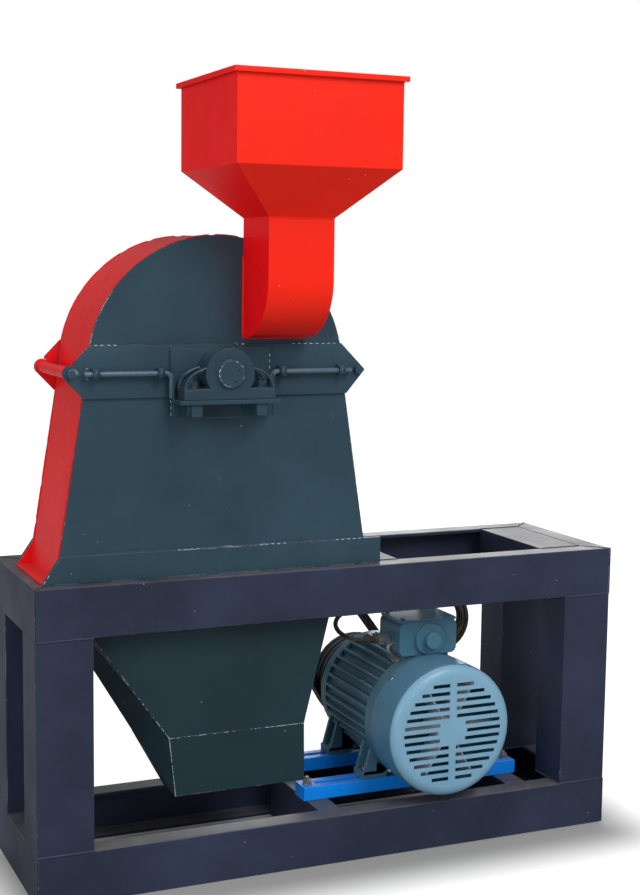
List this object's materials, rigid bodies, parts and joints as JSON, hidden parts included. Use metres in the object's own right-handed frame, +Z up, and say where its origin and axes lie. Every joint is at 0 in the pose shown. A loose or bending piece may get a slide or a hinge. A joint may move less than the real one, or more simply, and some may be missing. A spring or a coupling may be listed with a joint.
{
  "type": "hammer mill",
  "caption": "Hammer mill with a square feed hopper, round-topped hinged casing and discharge hopper on a channel stand, belt-driven by an electric motor.",
  "frame": {"origin": "middle of the bounding box's base, on the floor", "axes": "+Z up, +Y to the back where the belt drive is, +X to the right towards the motor"},
  "size_m": [1.268, 0.6678, 1.566],
  "materials": {
    "navy": "satin enamel, chipped at the edges",
    "teal": "satin enamel, chipped at the edges",
    "crimson": "satin enamel",
    "red": "satin enamel",
    "motor": "grey-blue enamel",
    "motor_sheet": "grey-blue enamel",
    "blue": "bright blue enamel",
    "steel": "turned",
    "iron": "painted or oiled",
    "fan": "moulded",
    "belt": "matt",
    "sheath": "matt"
  },
  "bodies": {
    "stand": {"base_beam_front": "navy", "base_beam_back": "navy", "base_beam_left": "navy", "base_beam_right": "navy", "top_beam_front": "navy", "top_beam_back": "navy", "top_beam_left": "navy", "top_beam_right": "navy", "post_front_left": "navy", "post_front_right": "navy", "post_back_left": "navy", "post_back_right": "navy", "casing_crossmember": "navy", "end_crossmember": "navy", "motor_crossmember_left": "navy", "motor_crossmember_right": "navy", "lower_front_wall": "teal", "lower_back_wall": "teal", "lower_band_front": "teal", "lower_band_back": "teal", "front_bracket": "teal", "back_bracket": "teal", "discharge_hopper": "teal", "lower_left_side": "crimson", "lower_right_side": "crimson", "motor_frame": "motor", "terminal_box": "motor", "fan_cover": "motor_sheet", "slide_rail_front": "blue", "slide_rail_back": "blue", "screen": "steel", "front_bearing": "iron", "back_bearing": "iron", "hinge_pin": "iron", "drive_belt": "belt", "motor_cable": "sheath", "cable_coil": "sheath"},
    "cover": {"upper_front_wall": "teal", "upper_back_wall": "teal", "upper_band_front": "teal", "upper_band_back": "teal", "upper_wrap": "crimson", "hinge_tube": "crimson", "closing_pin": "iron", "feed_chute": "red", "hopper_bin": "red", "hopper_rim": "red"},
    "rotor": {"rotor_shaft": "steel", "rotor_disc_front": "iron", "rotor_disc_back": "iron", "rotor_pulley": "iron"},
    "motor_rotor": {"motor_shaft": "steel", "cooling_fan": "fan", "motor_pulley": "iron"},
    "hammer_1": {"hammer_1": "iron"},
    "hammer_2": {"hammer_2": "iron"},
    "hammer_3": {"hammer_3": "iron"},
    "hammer_4": {"hammer_4": "iron"},
    "latch_left": {"latch_rod_left": "teal"},
    "latch_right": {"latch_rod_right": "teal"}
  },
  "joints": [
    {"name": "cover_hinge", "type": "hinge", "parent": "stand", "child": "cover", "pos_m": [-0.5555, 0.0034, 1.014], "axis": [0, -1, 0], "range_deg": [0, 100]},
    {"name": "rotor_spin", "type": "hinge", "parent": "stand", "child": "rotor", "pos_m": [-0.262, 0.0034, 1.014], "axis": [0, -1, 0], "continuous": true},
    {"name": "motor_spin", "type": "hinge", "parent": "stand", "child": "motor_rotor", "pos_m": [0.231, 0.0034, 0.2621], "axis": [0, -1, 0], "continuous": true},
    {"name": "hammer_swing_1", "type": "hinge", "parent": "rotor", "child": "hammer_1", "pos_m": [-0.2019, -0.0335, 1.0741], "axis": [0, -1, 0], "range_deg": [-5, 180]},
    {"name": "hammer_swing_2", "type": "hinge", "parent": "rotor", "child": "hammer_2", "pos_m": [-0.3221, -0.0089, 1.0741], "axis": [0, -1, 0], "range_deg": [-180, 5]},
    {"name": "hammer_swing_3", "type": "hinge", "parent": "rotor", "child": "hammer_3", "pos_m": [-0.3221, 0.0157, 0.9539], "axis": [0, -1, 0], "range_deg": [-130, 60]},
    {"name": "hammer_swing_4", "type": "hinge", "parent": "rotor", "child": "hammer_4", "pos_m": [-0.2019, 0.0403, 0.9539], "axis": [0, -1, 0], "range_deg": [-60, 130]},
    {"name": "latch_turn_left", "type": "hinge", "parent": "stand", "child": "latch_left", "pos_m": [-0.449, -0.1251, 1.014], "axis": [-1, 0, 0], "range_deg": [0, 110]},
    {"name": "latch_turn_right", "type": "hinge", "parent": "stand", "child": "latch_right", "pos_m": [-0.075, -0.1251, 1.014], "axis": [-1, 0, 0], "range_deg": [0, 110]}
  ],
  "couplings": [
    {"joint": "motor_spin", "follows": "rotor_spin", "ratio": 0.48}
  ]
}
